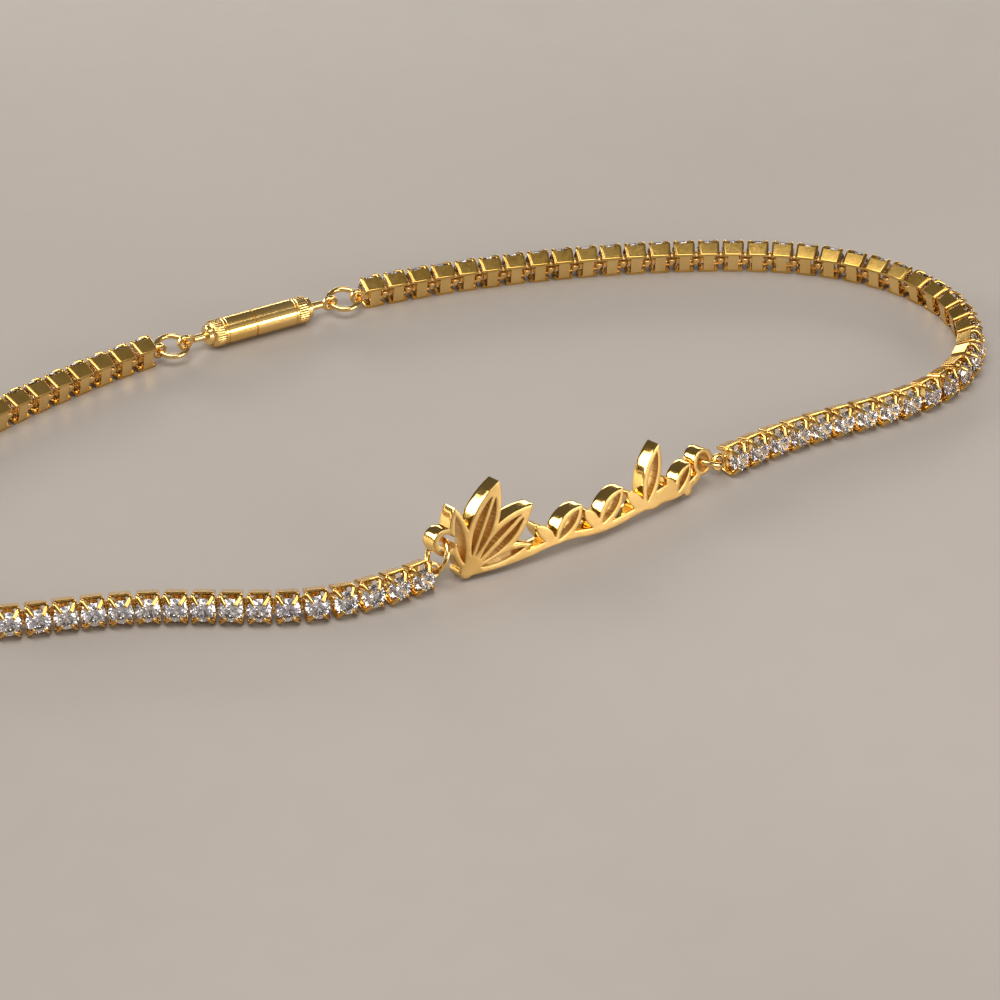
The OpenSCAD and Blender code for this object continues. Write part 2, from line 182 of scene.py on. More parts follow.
def soften(obj, angle):
    """Rounded edges shade smoothly while flat faces stay flat."""
    obj.data.set_sharp_from_angle(angle=radians(angle))
    mod = obj.modifiers.new("weighted", "WEIGHTED_NORMAL")
    mod.keep_sharp = True
    mod.weight = 60
    dg = bpy.context.evaluated_depsgraph_get()
    finished = bpy.data.meshes.new_from_object(obj.evaluated_get(dg))
    obj.modifiers.clear()
    obj.data = finished
    return obj


# Places of the solids

def islands(node):
    """Loose solids of a node: lists of their points in millimetres."""
    bm = bmesh.new()
    bm.from_mesh(nodes[node].data)
    bmesh.ops.remove_doubles(bm, verts=bm.verts, dist=1e-7)
    seen, found = set(), []
    for v in bm.verts:
        if v in seen:
            continue
        seen.add(v)
        group, stack = [], [v]
        while stack:
            a = stack.pop()
            group.append(np.array(a.co) / MM)
            for e in a.link_edges:
                b = e.other_vert(a)
                if b not in seen:
                    seen.add(b)
                    stack.append(b)
        found.append(np.array(group))
    bm.free()
    return found


def stone_places(node):
    """Place of every link, worked out from its stone: x along the strand, y up, z outward."""
    places = []
    for points in islands(node):
        gaps = np.linalg.norm(points[:, None] - points[None], axis=2) + 9 * np.eye(len(points))
        lone = gaps.min(1).argmax()
        culet = points[lone]
        middle = np.delete(points, lone, 0).mean(0)
        out = Vector((middle - culet) / np.linalg.norm(middle - culet))
        flat = Vector((out.x, out.y, 0)).normalized()
        along = Vector((-flat.y, flat.x, 0))
        up = out.cross(along)
        origin = Vector(culet) + out * (PAVILION - GIRDLE_LEVEL)
        m = Matrix((along, up, out)).transposed().to_4x4()
        m.translation = origin
        places.append(m)
    return places


def middle_of(node):
    low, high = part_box(node)
    return (low + high) / 2 / MM


def ring_place(node):
    """Middle of a loose ring and its three axes, the last one through its hole."""
    points = np.concatenate(islands(node))
    middle = points.mean(0)
    _, _, axes = np.linalg.svd(points - middle, full_matrices=False)
    m = Matrix([list(a) for a in axes]).transposed().to_4x4()
    m.translation = Vector(middle)
    return m


# Plate

PLATE = Matrix.Translation(PLATE_PLACE) @ Matrix.Rotation(PLATE_TURN, 4, "Z") @ Matrix.Rotation(-LEAN, 4, "X")
EDGE_ROUND = 0.065
EDGE_STEPS = 3
WALL_ROWS = 4
# Spacing of points along an edge, the shortest step kept in it, and the turn that makes a corner
LOOP_STEP = 0.085
LOOP_SHORTEST = 0.012
CORNER = radians(32)
CORNER_KEPT = 0.7
SMOOTHINGS = 2
# Points on the plate's faces: spacing, spacing of their rows and distance from an edge, as shares of it
GRID = 0.19
GRID_ROW, GRID_CLEAR = 0.87, 0.45
# Smaller openings than this, in square millimetres, are closed
PINHOLE = 0.05
# The casting lines of one edge start this far from those of the edge before it
RUN_SHIFT = 7


def bow(x, depth):
    """How far back the plate lies at a place along it, for a depth behind its front."""
    r = PLATE_RADIUS - depth
    return PLATE_RADIUS - sqrt(r * r - x * x)


def loop_area(loop):
    """Area within a closed loop, positive when it runs anticlockwise."""
    x, y = loop[:, 0], loop[:, 1]
    return (x * np.roll(y, -1) - np.roll(x, -1) * y).sum() / 2


def plate_loops():
    """Edges of the plate's front as closed loops of (along, up), outer one first."""
    inverse = PLATE.inverted()
    bm = bmesh.new()
    bm.from_mesh(nodes["nameplate"].data)
    bmesh.ops.remove_doubles(bm, verts=bm.verts, dist=1e-6)
    place = {}
    for v in bm.verts:
        p = inverse @ (v.co / MM)
        place[v] = (p.x, p.z, abs(hypot(p.x, PLATE_RADIUS - p.y) - PLATE_RADIUS) < 0.006)
    front = {f for f in bm.faces if all(place[v][2] for v in f.verts)}
    follow = {}
    for f in (f for f in bm.faces if f in front):
        for loop in f.loops:
            e = loop.edge
            if sum(1 for g in e.link_faces if g in front) == 1:
                follow[loop.vert] = loop.link_loop_next.vert
    loops = []
    while follow:
        start, v = follow.popitem()
        points = [start]
        while v in follow:
            points.append(v)
            v = follow.pop(v)
        loops.append(np.array([place[p][:2] for p in points]))
    bm.free()
    loops = [loop for loop in loops if abs(loop_area(loop)) > PINHOLE]
    loops.sort(key=lambda loop: -np.ptp(loop[:, 0]))
    return [loop[::-1] if (loop_area(loop) > 0) != (i == 0) else loop for i, loop in enumerate(loops)]


def turns(loop):
    """Angle by which a closed loop turns at each of its points."""
    a = loop - np.roll(loop, 1, 0)
    b = np.roll(loop, -1, 0) - loop
    return np.arctan2(a[:, 0] * b[:, 1] - a[:, 1] * b[:, 0], (a * b).sum(1))


def even_loop(loop):
    """The same loop with evenly spaced points between its corners, and its corners a little rounded."""
    gap = np.linalg.norm(np.roll(loop, -1, 0) - loop, axis=1)
    loop = loop[gap > LOOP_SHORTEST]
    sharp = [i for i, t in enumerate(turns(loop)) if abs(t) > CORNER]
    if not sharp:
        sharp = [0]
    out, is_corner = [], []
    for a, b in zip(sharp, sharp[1:] + [sharp[0] + len(loop)]):
        span = np.array([loop[i % len(loop)] for i in range(a, b + 1)])
        run = np.concatenate([[0], np.linalg.norm(np.diff(span, axis=0), axis=1).cumsum()])
        count = max(2, ceil(run[-1] / LOOP_STEP))
        at = np.linspace(0, run[-1], count + 1)[:-1]
        pts = np.stack([np.interp(at, run, span[:, k]) for k in (0, 1)], 1)
        for _ in range(SMOOTHINGS):
            inner = pts[1:-1]
            if len(inner) > 1:
                pts[1:-1] = (pts[:-2] + 2 * inner + pts[2:]) / 4
        out.append(pts)
        is_corner += [len(sharp) > 1 or abs(turns(loop)[a % len(loop)]) > CORNER] + [False] * (len(pts) - 1)
    out = np.concatenate(out)
    before, after = np.roll(out, 1, 0), np.roll(out, -1, 0)
    corner = np.array(is_corner)
    out[corner] = (out * CORNER_KEPT + (before + after) * (1 - CORNER_KEPT) / 2)[corner]
    return out


def inset(loop, distance):
    """Loop moved into the metal, which lies on its left."""
    a = loop - np.roll(loop, 1, 0)
    b = np.roll(loop, -1, 0) - loop
    a /= np.linalg.norm(a, axis=1)[:, None]
    b /= np.linalg.norm(b, axis=1)[:, None]
    n = np.stack([-(a + b)[:, 1], (a + b)[:, 0]], 1)
    n /= np.linalg.norm(n, axis=1)[:, None]
    half = np.arccos(np.clip((a * b).sum(1), -1, 1)) / 2
    return loop + n * (distance / np.maximum(np.cos(half), 0.5))[:, None]


def inside(points, loops):
    """True for points within the outer loop and outside the others."""
    count = np.zeros(len(points), int)
    for loop in loops:
        x0, y0 = loop[:, 0], loop[:, 1]
        x1, y1 = np.roll(x0, -1), np.roll(y0, -1)
        px, py = points[:, 0][:, None], points[:, 1][:, None]
        crosses = (y0 > py) != (y1 > py)
        with np.errstate(divide="ignore", invalid="ignore"):
            at = x0 + (py - y0) * (x1 - x0) / (y1 - y0)
        count += (crosses & (px < at)).sum(1)
    return count % 2 == 1


def nearest(points, loops):
    """Distance from each point to the nearest loop point."""
    every = np.concatenate(loops)
    return np.array([np.sqrt(((every - p) ** 2).sum(1)).min() for p in points])


def face_triangles(flat):
    """Triangles that fill the plate's face: their points, the triangles, and the place of each edge point."""
    low, high = flat[0].min(0), flat[0].max(0)
    grid = np.array([(x, y) for j, y in enumerate(np.arange(low[1], high[1], GRID * GRID_ROW))
                     for x in np.arange(low[0] + GRID / 2 * (j % 2), high[0], GRID)])
    grid = grid[inside(grid, flat)]
    grid = grid[nearest(grid, flat) > GRID * GRID_CLEAR]
    points, edges = [], []
    for loop in flat:
        n = len(points)
        points += [Vector(p) for p in loop]
        edges += [(n + i, n + (i + 1) % len(loop)) for i in range(len(loop))]
    points += [Vector(p) for p in grid]
    made, _, tris, origin, _, _ = delaunay_2d_cdt(points, edges, [], 1, 1e-6)
    made = np.array([tuple(p) for p in made])
    centres = np.array([made[list(t)].mean(0) for t in tris])
    tris = [t for t, keep in zip(tris, inside(centres, flat)) if keep]
    place = {source: i for i, sources in enumerate(origin) for source in sources}
    return made, tris, place


def edge_rows():
    """Rows from the front's edge to the back's: distance into the metal, depth, and 1 on the wall."""
    front = []
    for k in range(1, EDGE_STEPS + 1):
        a = pi / 2 * k / EDGE_STEPS
        front.append((EDGE_ROUND * (1 - sin(a)), EDGE_ROUND * (1 - cos(a)), 0))
    wall = [(0, PLATE_THICK * k / WALL_ROWS, 1) for k in range(1, WALL_ROWS)]
    back = [(d, PLATE_THICK - z, 1 if k == 0 else 0) for k, (d, z, _) in enumerate(reversed(front))]
    return front + wall + back


def make_plate(materials):
    """Plate with rounded edges: its face, outer walls and the rougher walls of its openings."""
    loops = [even_loop(loop) for loop in plate_loops()]
    made, tris, place = face_triangles([inset(loop, EDGE_ROUND) for loop in loops])
    verts, faces, kinds, runs = [], [], [], []

    def put(p, depth):
        verts.append(PLATE @ Vector((p[0], bow(p[0], depth), p[1])))
        return len(verts) - 1

    front_of = [put(p, 0) for p in made]
    back_of = [put(p, PLATE_THICK) for p in made]
    for a, b, c in tris:
        u, v = made[b] - made[a], made[c] - made[a]
        if u[0] * v[1] < u[1] * v[0]:
            b, c = c, b
        faces.append((front_of[a], front_of[b], front_of[c]))
        faces.append((back_of[c], back_of[b], back_of[a]))
        kinds += [0, 0]
        runs += [(0, 0)] * 6
    first = 0
    for which, loop in enumerate(loops):
        count = len(loop)
        last = [front_of[place[first + i]] for i in range(count)]
        steps = np.linalg.norm(np.roll(loop, -1, 0) - loop, axis=1)
        along = np.concatenate([[0], steps.cumsum()]) + RUN_SHIFT * which
        above = 0
        for distance, depth, on_wall in edge_rows() + [(None, PLATE_THICK, 0)]:
            if distance is None:
                now = [back_of[place[first + i]] for i in range(count)]
            else:
                now = [put(p, depth) for p in inset(loop, distance)]
            for i in range(count):
                j = (i + 1) % count
                faces.append((last[j], last[i], now[i], now[j]))
                kinds.append((1 if which == 0 else 2) if on_wall else 0)
                runs += [(along[i + 1], above), (along[i], above), (along[i], depth), (along[i + 1], depth)]
            last, above = now, depth
        first += count
    obj = mesh_piece("nameplate_cast", verts, faces, materials, kinds)
    layer = obj.data.uv_layers.new(name="run")
    layer.data.foreach_set("uv", [c for uv in runs for c in uv])
    obj.data.validate()
    return obj


# Links

# Numbers of the golds on a link, in the order of its materials; the walls' and the claws' golds are darker
# copies of the plain gold, painted shade
PLAIN, WALLS, CLAWS = 0, 1, 2
WALL_EDGE, BLOCK_EDGE, SHANK_EDGE = 0.045, 0.04, 0.03
# Floor block: half its length and its height
BLOCK_HALF, BLOCK_HIGH = 0.42, 0.52
# Shanks of tongues, eyes and cheeks: where they start, and their lower and upper levels
SHANK_START = 0.36
TONGUE_LEVELS, CHEEK_LEVELS = (0.4, 0.72), (0.42, 0.7)
# How far a shank stops short of the middle of a tongue's hole, or reaches into an eye's rim
TONGUE_STOP, EYE_OVERLAP = 0.3, 0.14
PIN_PROUD = 0.02

# A claw stands in the plane through the stone's axis and its bend. Its tip: distance from that axis and
# height above the girdle. The round bend runs between two shares of the leg and of the arm.
CLAW_SIDES = 12
CLAW_HALF = 0.16
CLAW_FOOT = Vector((0.62, 0.756, 0.06))
CLAW_BEND = Vector((0.7, 0.98, 1.45))
CLAW_TIP = 0.66, 0.285
BEND_START, BEND_STOP = 0.84, 0.34
# Thickness and width at each place along a claw, as shares of CLAW_HALF
CLAW_LEG = [(0, 1, 1), (0.3, 1, 1), (0.6, 1, 1), (BEND_START, 1, 1)]
CLAW_CURVE = [(0.2, 1, 0.98), (0.4, 0.97, 0.96), (0.6, 0.93, 0.94), (0.8, 0.88, 0.92), (1, 0.83, 0.9)]
CLAW_ARM = [(0.7, 0.75, 0.88), (1, 0.68, 0.84)]
# The same for the round end, with distances past the tip in millimetres
CLAW_END = [(0.06, 0.6, 0.76), (0.1, 0.48, 0.6), (0.125, 0.32, 0.4), (0.14, 0.1, 0.13)]


def add_claw(solid, sx, sy):
    """Wire claw from the back corner beside the girdle and over the crown, flattened towards its tip."""
    angle = atan2(CLAW_BEND.y, CLAW_BEND.x)
    foot, bend = CLAW_FOOT, CLAW_BEND
    tip = Vector((CLAW_TIP[0] * cos(angle), CLAW_TIP[0] * sin(angle), GIRDLE_LEVEL + CLAW_TIP[1]))
    reach = (tip - bend).normalized()
    start, stop = foot.lerp(bend, BEND_START), bend.lerp(tip, BEND_STOP)
    points = [foot.lerp(bend, t) for t, _, _ in CLAW_LEG]
    points += [start.lerp(bend, t).lerp(bend.lerp(stop, t), t) for t, _, _ in CLAW_CURVE]
    points += [bend.lerp(tip, t) for t, _, _ in CLAW_ARM]
    points += [tip + reach * d for d, _, _ in CLAW_END]
    turn = Matrix.Diagonal((sx, sy, 1))
    side = turn @ Vector((-sin(angle), cos(angle), 0))
    sizes = [(CLAW_HALF * a, CLAW_HALF * b) for _, a, b in CLAW_LEG + CLAW_CURVE + CLAW_ARM + CLAW_END]
    solid.sweep([turn @ p for p in points], sizes, CLAW_SIDES, side, flip=sx * sy < 0)


def add_eye(solid, side):
    """Flat eye on a shank, for the ring at the end of a strand."""
    place = Matrix.Translation((side * EYE_REACH, 0, HINGE_LEVEL))
    solid.lathe(round_profile(EYE_HOLE / 2, EYE_OUTER / 2, EYE_THICK / 2, EYE_EDGE), EYE_SIDES, place, True)
    a, b = sorted((side * SHANK_START, side * (EYE_REACH - EYE_HOLE / 2 - EYE_OVERLAP)))
    solid.bar(a, b, -TONGUE_HALF, TONGUE_HALF, *TONGUE_LEVELS, SHANK_EDGE)


def add_wall(solid, side):
    """Side wall of a link, leaning by the angle at which the strand leans."""
    half, slope = LINK_WIDTH / 2, LINK_DEPTH * tan(LEAN)
    y0, y1, w = side * (half - slope), side * half, side * WALL
    a, b, z = WALL_BACK, WALL_FRONT, LINK_DEPTH
    back = [(-a, y0 - w, 0), (a, y0 - w, 0), (a, y0, 0), (-a, y0, 0)]
    front = [(-b, y1 - w, z), (b, y1 - w, z), (b, y1, z), (-b, y1, z)]
    solid.block(back + front, WALL_EDGE)


def hinge_place(x, y):
    """Place on a hinge's axis, with z along the axis."""
    return Matrix.Translation((x, y, HINGE_LEVEL)) @ Matrix.Rotation(-pi / 2, 4, "X")


def add_tongue(solid):
    """Tongue with its hole, on the side of the next link."""
    profile = round_profile(PIN_HOLE / 2, TONGUE_OUTER / 2, TONGUE_HALF, 0.04, 2)
    solid.lathe(profile, 28, hinge_place(PITCH / 2, 0), True)
    solid.bar(SHANK_START, PITCH / 2 - TONGUE_STOP, -TONGUE_HALF, TONGUE_HALF, *TONGUE_LEVELS, SHANK_EDGE)


def add_cheeks(solid):
    """Two cheeks with the pin between them, on the side of the link before."""
    half = (CHEEK_OUTER - CHEEK_INNER) / 2
    for side in (-1, 1):
        y = side * (CHEEK_INNER + CHEEK_OUTER) / 2
        solid.lathe(disc_profile(CHEEK_RADIUS, half, 0.035), 20, hinge_place(-PITCH / 2, y), False)
        solid.bar(-PITCH / 2, -SHANK_START, y - half, y + half, *CHEEK_LEVELS, SHANK_EDGE)
    pin = disc_profile(PIN_WIRE / 2, CHEEK_OUTER + PIN_PROUD, 0.05)
    solid.lathe(pin, 16, hinge_place(-PITCH / 2, 0), False)


def make_link(first, last):
    """One link: two side walls, floor block, four claws, and its halves of the hinges or an eye."""
    s = Solid()
    # The walls take a darker copy of the link gold: painted shade
    s.kind = WALLS
    for side in (-1, 1):
        add_wall(s, side)
    s.kind = PLAIN
    reach = LINK_WIDTH / 2 - LINK_DEPTH * tan(LEAN) - WALL / 2
    s.bar(-BLOCK_HALF, BLOCK_HALF, -reach, reach, 0, BLOCK_HIGH, BLOCK_EDGE)
    # The claws take a darker copy of the link gold: painted shade
    s.kind = CLAWS
    for sx in (-1, 1):
        for sy in (-1, 1):
            add_claw(s, sx, sy)
    s.kind = PLAIN
    if last:
        add_eye(s, 1)
    else:
        add_tongue(s)
    if first:
        add_eye(s, -1)
    else:
        add_cheeks(s)
    return s


def ordered(places, ring_near_last):
    """Places sorted from the clasp's end to the plate's end, by walking from neighbour to neighbour."""
    left = list(places)
    left.sort(key=lambda m: (m.translation - ring_near_last).length)
    row = [left.pop(0)]
    while left:
        k = min(range(len(left)), key=lambda i: (left[i].translation - row[-1].translation).length)
        row.append(left.pop(k))
    return row[::-1]


def copies(name, kinds_of_solid, row, materials):
    """One mesh holding a solid at every place of a row."""
    verts, faces, kinds = [], [], []
    for solid, m in zip(kinds_of_solid, row):
        n = len(verts)
        verts += [m @ v for v in solid.verts]
        faces += [tuple(n + i for i in f) for f in solid.faces]
        kinds += solid.kinds
    return mesh_piece(name, verts, faces, materials, kinds)


# Stones

# Half the girdle's thickness, how far down the lower halves reach, and the most that a stone is turned
GIRDLE_HALF = 0.018
LOW_SHARE = 0.26
STONE_TURN = 0.2


def brilliant():
    """Round brilliant: table, eight stars, eight kites, upper and lower halves, eight mains and a girdle."""
    r = STONE / 2
    slope = CROWN / (r - TABLE)
    star_z = CROWN - (STAR * cos(radians(22.5)) - TABLE) * slope
    verts, faces = [], []

    def put(p):
        verts.append(Vector(p))
        return len(verts) - 1

    def ring(radius, z, start, count):
        angles = [radians(start + 360 / count * k) for k in range(count)]
        return [put((radius * cos(a), radius * sin(a), z)) for a in angles]

    table = ring(TABLE, CROWN, 0, 8)
    stars = ring(STAR, star_z, 22.5, 8)
    steep = PAVILION / r
    culet = put((0, 0, -PAVILION))
    low_r = LOW_SHARE * r
    lows = ring(low_r, -PAVILION + low_r * cos(radians(22.5)) * steep, 22.5, 8)
    upper = ring(r, GIRDLE_HALF, 0, 16)
    lower = ring(r, -GIRDLE_HALF, 0, 16)
    faces.append(tuple(table))
    for k in range(8):
        n, b = (k + 1) % 8, (k + 7) % 8
        faces.append((table[k], stars[k], table[n]))
        faces.append((stars[b], upper[2 * k], stars[k], table[k]))
        faces.append((stars[k], upper[2 * k], upper[2 * k + 1]))
        faces.append((stars[k], upper[2 * k + 1], upper[(2 * k + 2) % 16]))
        faces.append((culet, lows[k], lower[2 * k], lows[b]))
        faces.append((lower[2 * k + 1], lower[2 * k], lows[k]))
        faces.append((lower[(2 * k + 2) % 16], lower[2 * k + 1], lows[k]))
    for k in range(16):
        n = (k + 1) % 16
        faces.append((upper[n], upper[k], lower[k], lower[n]))
    return verts, faces


def make_stones(name, row, material):
    """A brilliant in every link, each turned a little differently, with painted sparkle and shade: every
    stone and every facet has its own tint.
    """
    draw = random.Random(len(name))
    shape, sides = brilliant()
    verts, faces, painted_facet_sparkles = [], [], []
    for m in row:
        turn = Matrix.Rotation(draw.uniform(-STONE_TURN, STONE_TURN), 4, "Z")
        place = m @ Matrix.Translation((0, 0, GIRDLE_LEVEL)) @ turn
        n = len(verts)
        verts += [place @ v for v in shape]
        faces += [tuple(n + i for i in f) for f in sides]
        # Painted sparkle and shade: half of each facet's value comes from its stone, half is its own
        stone_sparkle_share = draw.random()
        painted_facet_sparkles += [0.5 * stone_sparkle_share + 0.5 * draw.random() for _ in sides]
    obj = mesh_piece(name, verts, faces, [material], smooth=False)
    mark = obj.data.attributes.new("painted_facet_sparkle", "FLOAT", "FACE")
    mark.data.foreach_set("value", painted_facet_sparkles)
    return obj


# Rings and clasp

RING_ROWS, RING_SIDES = 112, 20
# Half the angle of a ring's seam, and the wire's share that is left there
SEAM_HALF, SEAM_DEEP = 0.03, 0.93


def make_ring(name, node, material, seam_angle):
    """Loose ring of round wire whose two ends meet in a fine seam."""
    place = ring_place(node)
    rows, sides = RING_ROWS, RING_SIDES
    verts, faces = [], []
    for i in range(rows):
        a = 2 * pi * i / rows
        off = (a - seam_angle + pi) % (2 * pi) - pi
        wire = RING_WIRE / 2 * (SEAM_DEEP if abs(off) < SEAM_HALF else 1)
        for k in range(sides):
            b = 2 * pi * k / sides
            r = RING_MIDDLE + wire * cos(b)
            verts.append(place @ Vector((r * cos(a), r * sin(a), wire * sin(b))))
    for i in range(rows):
        for k in range(sides):
            j, n = (i + 1) % rows, (k + 1) % sides
            faces.append((i * sides + k, j * sides + k, j * sides + n, i * sides + n))
    return mesh_piece(name, verts, faces, [material])


def clasp_place():
    """Middle of the clasp's barrel, with x along it, y up and z outward like a link's."""
    points = np.concatenate(islands("clasp"))
    _, _, axes = np.linalg.svd(points - points.mean(0), full_matrices=False)
    along = Vector((axes[0][0], axes[0][1], 0)).normalized()
    out = Vector((along.y, -along.x, 0))
    if out.dot(Vector(points.mean(0))) < 0:
        along, out = -along, -out
    out = out * cos(LEAN) + Vector((0, 0, sin(LEAN)))
    up = out.cross(along)
    turn = Matrix((along, up, out))
    local = points @ np.array(turn).T
    middle = (local.max(0) + local.min(0)) / 2
    m = turn.transposed().to_4x4()
    m.translation = turn.transposed() @ Vector(middle)
    return m


# How far the eyes lie below the middle of the clasp's box
CLASP_RISE = 0.078
CLASP_ROUND = 0.18
# Neck and shoulder of the barrel: radius, and distance past the end of its body
CLASP_NECK = [(0.3, 1.4), (0.3, 0.42), (0.5, 0.4), (0.72, 0.4), (0.79, 0.33), (0.8, 0.02)]
# Two grooves near each end and the seam of the two halves: place along the barrel and depth
CLASP_GROOVES = [(-3.1, 0.07), (-2.85, 0.07), (0.5, 0.1), (2.85, 0.07), (3.1, 0.07)]
# Half widths of a groove, at its mouth and at its floor
GROOVE_MOUTH, GROOVE_FLOOR = 0.07, 0.02
# Knurling: ridges round an end, points from ridge to ridge, depth, start along the barrel, and distance from
# the end of its body
KNURLS, KNURL_POINTS = 30, 4
KNURL_DEEP, KNURL_START, KNURL_STOP = 0.035, 3.15, 0.1


def clasp_profile():
    """Outline of the barrel from one end to the other, as (radius, place along it)."""
    r, e, half = CLASP_WIDE / 2, CLASP_ROUND, CLASP_BODY / 2
    side = [(radius, half + past) for radius, past in CLASP_NECK]
    side += [(r - e + e * sin(radians(a)), half - e + e * cos(radians(a))) for a in (15, 35, 55, 75, 90)]
    profile = [(radius, -z) for radius, z in side]
    for z, deep in CLASP_GROOVES:
        profile += [(r, z - GROOVE_MOUTH), (r - deep, z - GROOVE_FLOOR), (r - deep, z + GROOVE_FLOOR),
                    (r, z + GROOVE_MOUTH)]
    return profile + side[::-1]


def knurled(radius, z):
    """True on the roughened stretch at each end of the barrel."""
    between = KNURL_START < abs(z) < CLASP_BODY / 2 - KNURL_STOP
    return between or (radius == CLASP_WIDE / 2 and abs(z) >= CLASP_GROOVES[-1][0])


def make_clasp(material):
    """Barrel clasp: two turned halves with a fine seam, grooves, a knurled end and an eye at each end."""
    s = Solid()
    place = clasp_place() @ Matrix.Rotation(pi / 2, 4, "Y")
    profile = clasp_profile()
    rows, sides = len(profile), KNURLS * KNURL_POINTS
    verts, faces = [], []
    for k in range(sides):
        a = 2 * pi * k / sides
        for radius, z in profile:
            r = radius - (KNURL_DEEP if k % KNURL_POINTS == 0 and knurled(radius, z) else 0)
            verts.append(place @ Vector((r * cos(a), r * sin(a), z)))
    for k in range(sides):
        n = (k + 1) % sides
        faces += [(k * rows + i, n * rows + i, n * rows + i + 1, k * rows + i + 1) for i in range(rows - 1)]
    faces.append(tuple(k * rows for k in reversed(range(sides))))
    faces.append(tuple(k * rows + rows - 1 for k in range(sides)))
    s.add(verts, faces)
    for end in (-1, 1):
        eye = clasp_place() @ Matrix.Translation(
            (end * CLASP_LENGTH / 2, -CLASP_RISE * cos(LEAN), -CLASP_RISE * sin(LEAN)))
        s.lathe(round_profile(EYE_HOLE / 2, EYE_OUTER / 2, EYE_THICK / 2, EYE_EDGE), EYE_SIDES, eye, True)
    return mesh_piece("clasp_barrel", s.verts, s.faces, [material])


# Materials

class Nodes:
    """Short way to add nodes to a tree and join them."""

    def __init__(self, tree):
        self.tree = tree
        tree.nodes.clear()

    def feed(self, node, inputs):
        """Gives a node its inputs: a socket is joined, anything else is a plain value."""
        for key, value in inputs.items():
            if isinstance(value, bpy.types.NodeSocket):
                self.tree.links.new(value, node.inputs[key])
            else:
                node.inputs[key].default_value = value

    def add(self, kind, inputs=None, **settings):
        node = self.tree.nodes.new("ShaderNode" + kind)
        for key, value in settings.items():
            setattr(node, key, value)
        self.feed(node, inputs or {})
        return node

    def noise(self, place, scale, detail, roughness=0.5):
        node = self.add("TexNoise", {"Vector": place, "Scale": scale, "Detail": detail,
                                     "Roughness": roughness})
        return node.outputs["Fac"]

    def stretched(self, place, turn, scale):
        node = self.add("Mapping", {"Vector": place, "Rotation": turn, "Scale": scale})
        return node.outputs["Vector"]

    def ranged(self, value, low, high, to_low=0.0, to_high=1.0):
        """Value moved from one range to another and kept within it."""
        node = self.add("MapRange", {"Value": value, "From Min": low, "From Max": high, "To Min": to_low,
                                     "To Max": to_high})
        return node.outputs[0]

    def maths(self, operation, *values, **settings):
        node = self.add("Math", dict(enumerate(values)), operation=operation, **settings)
        return node.outputs[0]

    def ramp(self, fac, stops):
        node = self.add("ValToRGB", {"Fac": fac})
        ramp = node.color_ramp
        while len(ramp.elements) < len(stops):
            ramp.elements.new(0.5)
        for element, (at, colour) in zip(ramp.elements, stops):
            element.position = at
            element.color = (*colour, 1)
        return node.outputs["Color"]

    def bump(self, height, strength, distance, normal=None):
        node = self.add("Bump", {"Strength": strength, "Distance": distance, "Height": height})
        if normal is not None:
            self.feed(node, {"Normal": normal})
        return node.outputs["Normal"]


def make_group(name, inputs, outputs, fill):
    """Shared effect as a node group; fill gets the nodes and the input sockets and returns the outputs."""
    tree = bpy.data.node_groups.new(name, "ShaderNodeTree")
    for label, kind, value in inputs:
        socket = tree.interface.new_socket(label, in_out="INPUT", socket_type="NodeSocket" + kind)
        if value is not None:
            socket.default_value = value
    for label, kind in outputs:
        tree.interface.new_socket(label, in_out="OUTPUT", socket_type="NodeSocket" + kind)
    n = Nodes(tree)
    start = tree.nodes.new("NodeGroupInput")
    end = tree.nodes.new("NodeGroupOutput")
    for label, socket in fill(n, start.outputs).items():
        tree.links.new(socket, end.inputs[label])
    return tree


def polish_marks(n, given):
    """Fine crossing lines and tiny pits left by polishing, as a height."""
    place, scale = given["Place"], given["Scale"]
    first = n.noise(n.stretched(place, (0.3, 0.2, 0.5), (9, 1, 1)), scale, 4.0, 0.6)
    second = n.noise(n.stretched(place, (0.1, 0.9, -0.6), (1, 8, 1)), scale, 4.0, 0.6)
    pits = n.noise(place, scale, 6.0, 0.7)
    return {"Height": n.maths("ADD", n.maths("MULTIPLY", first, second), pits)}


def tone_drift(n, given):
    """Slow change of tone over the metal, from 0 to 1, with a few faint cloudy spots."""
    slow = n.ranged(n.noise(given["Place"], given["Scale"], 3.0, 0.55), 0.3, 0.7)
    spots = n.ranged(n.noise(given["Place"], SPOT_SCALE, 5.0, 0.6), 0.35, 0.75, to_high=0.35)
    return {"Tone": n.maths("ADD", slow, spots, use_clamp=True)}


def cast_lines(n, given):
    """Fine lines from front to back that casting leaves on a wall, as a height and a mask."""
    lines = n.noise(n.stretched(given["Run"], (0, 0, 0), (1, 0.06, 1)), 6.0, 3.0, 0.7)
    grain = n.noise(given["Run"], 9.0, 6.0, 0.7)
    return {"Height": n.maths("MULTIPLY_ADD", lines, 0.8, grain), "Mask": n.ranged(lines, 0.45, 0.55)}


# Scales of the effects, per metre
MARK_SCALE, DRIFT_SCALE, SPOT_SCALE = 3000.0, 260.0, 1400.0
# Depths of polishing marks and casting lines, in metres
MARK_DEPTH, CAST_DEPTH = 0.000004, 0.00003

PLACE_AND_SCALE = [("Place", "Vector", None), ("Scale", "Float", 1000.0)]
MARKS = make_group("polish_marks", PLACE_AND_SCALE, [("Height", "Float")], polish_marks)
DRIFT = make_group("tone_drift", PLACE_AND_SCALE, [("Tone", "Float")], tone_drift)
CAST = make_group("cast_lines", [("Run", "Vector", None)], [("Height", "Float"), ("Mask", "Float")],
                  cast_lines)


def start_material(name):
    """New material with its nodes, its shader and the place on the object."""
    material = bpy.data.materials.new(name)
    material.use_nodes = True
    n = Nodes(material.node_tree)
    shader = n.add("BsdfPrincipled")
    n.add("OutputMaterial", {"Surface": shader.outputs[0]})
    return material, n, shader, n.add("TexCoord").outputs["Object"]


